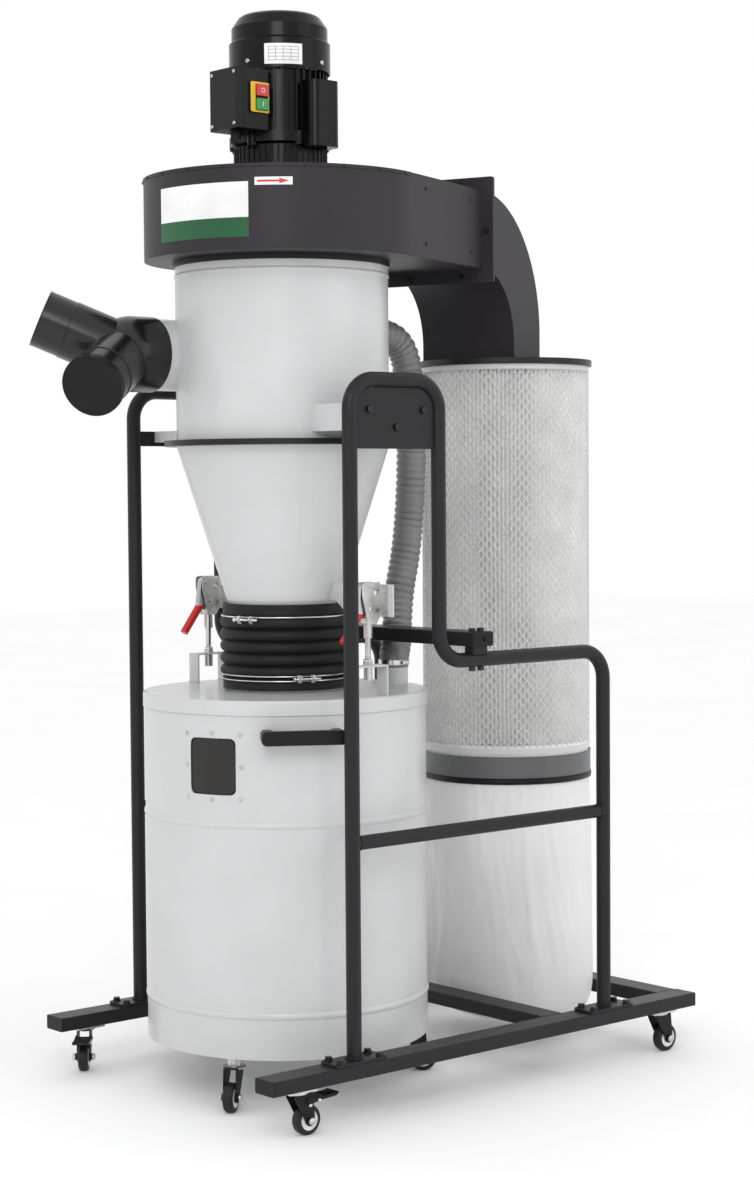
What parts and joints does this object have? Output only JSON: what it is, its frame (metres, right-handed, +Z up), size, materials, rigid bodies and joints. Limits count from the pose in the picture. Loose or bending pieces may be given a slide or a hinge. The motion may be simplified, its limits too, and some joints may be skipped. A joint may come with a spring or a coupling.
{
  "type": "dust collector",
  "caption": "Mobile two-stage dust collector: cyclone over a roll-out drum, blower and motor on top, elbow to a tall filter with a hanging bag, all on a caster frame.",
  "frame": {"origin": "floor, under the centre of the whole machine's bounding box", "axes": "+X along the base rails from the inlet end to the filter end, +Y towards the far rail, +Z up"},
  "size_m": [1.1132, 0.666, 1.872],
  "materials": {
    "frame_black": "satin",
    "cyclone_grey": "semi-gloss",
    "housing_charcoal": "satin",
    "moulded_black": "gloss",
    "steel": "plated",
    "dark_steel": "satin",
    "rubber_black": "matte",
    "tyre_black": "matte",
    "plastic_black": "matte",
    "media": "pleated",
    "mesh": "satin",
    "band": "satin",
    "bag": "translucent film",
    "window": "clear",
    "motor_black": "gloss",
    "red": "gloss",
    "green": "gloss",
    "grip_red": "satin",
    "hose": "ribbed"
  },
  "bodies": {
    "frame": {"base_rails": "frame_black", "rail_end_caps": "plastic_black", "tube_frame_near": "frame_black", "tube_frame_far": "frame_black", "frame_plates": "frame_black", "bolts": "dark_steel", "cross_brace": "frame_black", "barrel": "cyclone_grey", "barrel_flanges": "dark_steel", "cone": "cyclone_grey", "vortex_tube": "cyclone_grey", "blower_housing": "housing_charcoal", "blower_cover": "housing_charcoal", "outlet_elbow": "housing_charcoal", "filter_plate": "housing_charcoal", "filter_media": "media", "filter_mesh": "mesh", "bag_band": "band", "dust_bag": "bag", "inlet_wye": "moulded_black", "motor_frame": "motor_black", "motor_bell": "motor_black", "motor_cowl": "motor_black", "switch_box": "plastic_black", "capacitor_cover": "motor_black", "clamp_bodies": "steel", "upper_sleeve_clamp": "steel", "caster_mounts": "steel", "drum": "cyclone_grey", "drum_window": "window", "drum_handle": "plastic_black", "sleeve": "rubber_black", "return_hose": "hose"},
    "rotor": {"motor_rotor": "steel", "impeller": "dark_steel"},
    "lid": {"lid": "cyclone_grey", "clamp_plungers": "steel", "lower_sleeve_clamp": "steel"},
    "levers": {"clamp_levers": "grip_red"},
    "stop": {"stop_button": "red"},
    "start": {"start_button": "green"},
    "cap": {"inlet_cap": "moulded_black"},
    "near_left_swivel": {"near_left_fork": "plastic_black"},
    "near_left_roller": {"near_left_wheel": "tyre_black"},
    "near_left_pedal": {"near_left_brake_pedal": "plastic_black"},
    "far_left_swivel": {"far_left_fork": "plastic_black"},
    "far_left_roller": {"far_left_wheel": "tyre_black"},
    "far_left_pedal": {"far_left_brake_pedal": "plastic_black"},
    "near_right_swivel": {"near_right_fork": "plastic_black"},
    "near_right_roller": {"near_right_wheel": "tyre_black"},
    "far_right_swivel": {"far_right_fork": "plastic_black"},
    "far_right_roller": {"far_right_wheel": "tyre_black"},
    "drum_near_left_swivel": {"drum_near_left_fork": "plastic_black"},
    "drum_near_left_roller": {"drum_near_left_wheel": "tyre_black"},
    "drum_near_right_swivel": {"drum_near_right_fork": "plastic_black"},
    "drum_near_right_roller": {"drum_near_right_wheel": "tyre_black"},
    "drum_far_swivel": {"drum_far_fork": "plastic_black"},
    "drum_far_roller": {"drum_far_wheel": "tyre_black"}
  },
  "joints": [
    {"name": "rotor_spin", "type": "hinge", "parent": "frame", "child": "rotor", "pos_m": [-0.151, 0, 1.6], "axis": [0, 0, 1], "continuous": true},
    {"name": "lid_lift", "type": "slide", "parent": "frame", "child": "lid", "axis": [0, 0, 1], "range_m": [0, 0.03], "deforming": ["sleeve", "return_hose"]},
    {"name": "clamp_turn", "type": "hinge", "parent": "frame", "child": "levers", "pos_m": [-0.163, 0, 0.881], "axis": [0, 1, 0], "range_deg": [0, 120]},
    {"name": "stop_press", "type": "slide", "parent": "frame", "child": "stop", "axis": [0, 1, 0], "range_m": [0, 0.003], "stiffness_N_per_m": 300},
    {"name": "start_press", "type": "slide", "parent": "frame", "child": "start", "axis": [0, 1, 0], "range_m": [0, 0.003], "stiffness_N_per_m": 300},
    {"name": "cap_pull", "type": "slide", "parent": "frame", "child": "cap", "axis": [-0.7716, -0.5012, -0.3916], "range_m": [0, 0.06]},
    {"name": "near_left_swivel", "type": "hinge", "parent": "frame", "child": "near_left_swivel", "pos_m": [-0.379, -0.308, 0.075], "axis": [0, 0, 1], "continuous": true},
    {"name": "near_left_roll", "type": "hinge", "parent": "near_left_swivel", "child": "near_left_roller", "pos_m": [-0.359, -0.308, 0.025], "axis": [0, -1, 0], "continuous": true},
    {"name": "near_left_brake", "type": "hinge", "parent": "near_left_swivel", "child": "near_left_pedal", "pos_m": [-0.363, -0.308, 0.058], "axis": [0, 1, 0], "range_deg": [0, 10]},
    {"name": "far_left_swivel", "type": "hinge", "parent": "frame", "child": "far_left_swivel", "pos_m": [-0.379, 0.308, 0.075], "axis": [0, 0, 1], "continuous": true},
    {"name": "far_left_roll", "type": "hinge", "parent": "far_left_swivel", "child": "far_left_roller", "pos_m": [-0.39186, 0.29268, 0.025], "axis": [-0.766, 0.6428, 0], "continuous": true},
    {"name": "far_left_brake", "type": "hinge", "parent": "far_left_swivel", "child": "far_left_pedal", "pos_m": [-0.38928, 0.29574, 0.058], "axis": [0.766, -0.6428, 0], "range_deg": [0, 10]},
    {"name": "near_right_swivel", "type": "hinge", "parent": "frame", "child": "near_right_swivel", "pos_m": [0.478, -0.308, 0.075], "axis": [0, 0, 1], "continuous": true},
    {"name": "near_right_roll", "type": "hinge", "parent": "near_right_swivel", "child": "near_right_roller", "pos_m": [0.498, -0.308, 0.025], "axis": [0, -1, 0], "continuous": true},
    {"name": "far_right_swivel", "type": "hinge", "parent": "frame", "child": "far_right_swivel", "pos_m": [0.478, 0.308, 0.075], "axis": [0, 0, 1], "continuous": true},
    {"name": "far_right_roll", "type": "hinge", "parent": "far_right_swivel", "child": "far_right_roller", "pos_m": [0.45921, 0.30116, 0.025], "axis": [-0.342, 0.9397, 0], "continuous": true},
    {"name": "drum_near_left_swivel", "type": "hinge", "parent": "frame", "child": "drum_near_left_swivel", "pos_m": [-0.351, -0.105, 0.075], "axis": [0, 0, 1], "continuous": true},
    {"name": "drum_near_left_roll", "type": "hinge", "parent": "drum_near_left_swivel", "child": "drum_near_left_roller", "pos_m": [-0.36738, -0.11647, 0.025], "axis": [-0.5736, 0.8192, 0], "continuous": true},
    {"name": "drum_near_right_swivel", "type": "hinge", "parent": "frame", "child": "drum_near_right_swivel", "pos_m": [0.049, -0.105, 0.075], "axis": [0, 0, 1], "continuous": true},
    {"name": "drum_near_right_roll", "type": "hinge", "parent": "drum_near_right_swivel", "child": "drum_near_right_roller", "pos_m": [0.06538, -0.11647, 0.025], "axis": [-0.5736, -0.8192, 0], "continuous": true},
    {"name": "drum_far_swivel", "type": "hinge", "parent": "frame", "child": "drum_far_swivel", "pos_m": [-0.151, 0.226, 0.075], "axis": [0, 0, 1], "continuous": true},
    {"name": "drum_far_roll", "type": "hinge", "parent": "drum_far_swivel", "child": "drum_far_roller", "pos_m": [-0.141, 0.24332, 0.025], "axis": [0.866, -0.5, 0], "continuous": true}
  ],
  "couplings": [
    {"joint": "clamp_turn", "follows": "lid_lift", "rad_per_m": 69.8}
  ]
}
